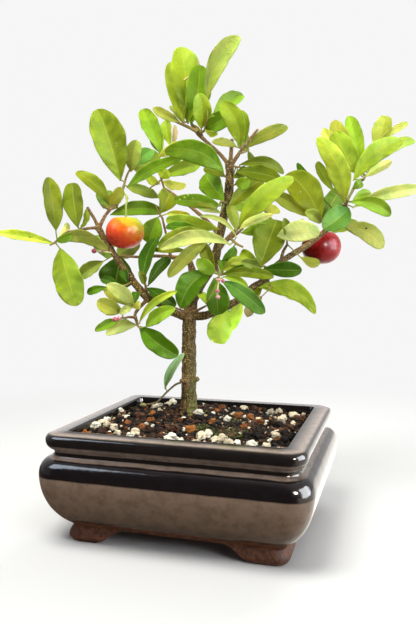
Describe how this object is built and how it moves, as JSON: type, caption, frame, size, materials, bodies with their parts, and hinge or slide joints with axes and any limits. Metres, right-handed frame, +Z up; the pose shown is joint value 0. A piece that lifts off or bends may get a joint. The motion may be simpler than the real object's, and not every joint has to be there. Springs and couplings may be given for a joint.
{
  "type": "barbados cherry bonsai in a pot",
  "caption": "Small Barbados cherry bonsai with leafy sprays, ripening fruit and flower buds, rooted in gritty soil in a glazed rectangular pot with bracket feet.",
  "frame": {"origin": "on the surface that the pot stands on, under the middle of the whole object's box", "axes": "+Z up, X along the pot's long side, -Y towards the side that the picture shows"},
  "size_m": [0.2666, 0.1966, 0.3193],
  "materials": {
    "glaze": "gloss",
    "soil": "rough",
    "bark": "rough",
    "screen": "matte",
    "leaf": "satin",
    "leaf_light": "satin",
    "leaf_teal": "satin",
    "fruit_orange": "gloss",
    "fruit_red": "gloss",
    "bud": "satin"
  },
  "bodies": {
    "root": {"buds_left": "bud", "buds_low": "bud", "buds_mid": "bud", "drain_screen_left": "screen", "drain_screen_right": "screen", "fruit_orange": "fruit_orange", "fruit_red": "fruit_red", "low_twig": "leaf_teal", "pot": "glaze", "soil": "soil", "spray_back": "leaf", "spray_behind_fruit": "leaf", "spray_crown_left": "leaf_light", "spray_crown_mid": "leaf", "spray_down": "leaf", "spray_hang": "leaf", "spray_knob": "leaf", "spray_knuckle": "leaf", "spray_knuckle_end": "leaf", "spray_leader": "leaf", "spray_leader_right": "leaf", "spray_left": "leaf_light", "spray_left_fork": "leaf", "spray_left_low": "leaf", "spray_left_mid": "leaf", "spray_low": "leaf", "spray_middle": "leaf", "spray_rear": "leaf", "spray_rear_up": "leaf", "spray_right": "leaf_light", "spray_right_back": "leaf", "spray_right_down": "leaf", "spray_right_fore": "leaf", "spray_right_inner": "leaf", "spray_right_low": "leaf", "spray_right_mid": "leaf", "spray_right_top": "leaf_light", "spray_right_under": "leaf_light", "spray_spur": "leaf_light", "spray_top": "leaf_light", "spray_top_back": "leaf", "spray_top_mid": "leaf_light", "spray_top_right": "leaf", "spray_upper_left": "leaf", "tree": "bark"}
  },
  "joints": []
}
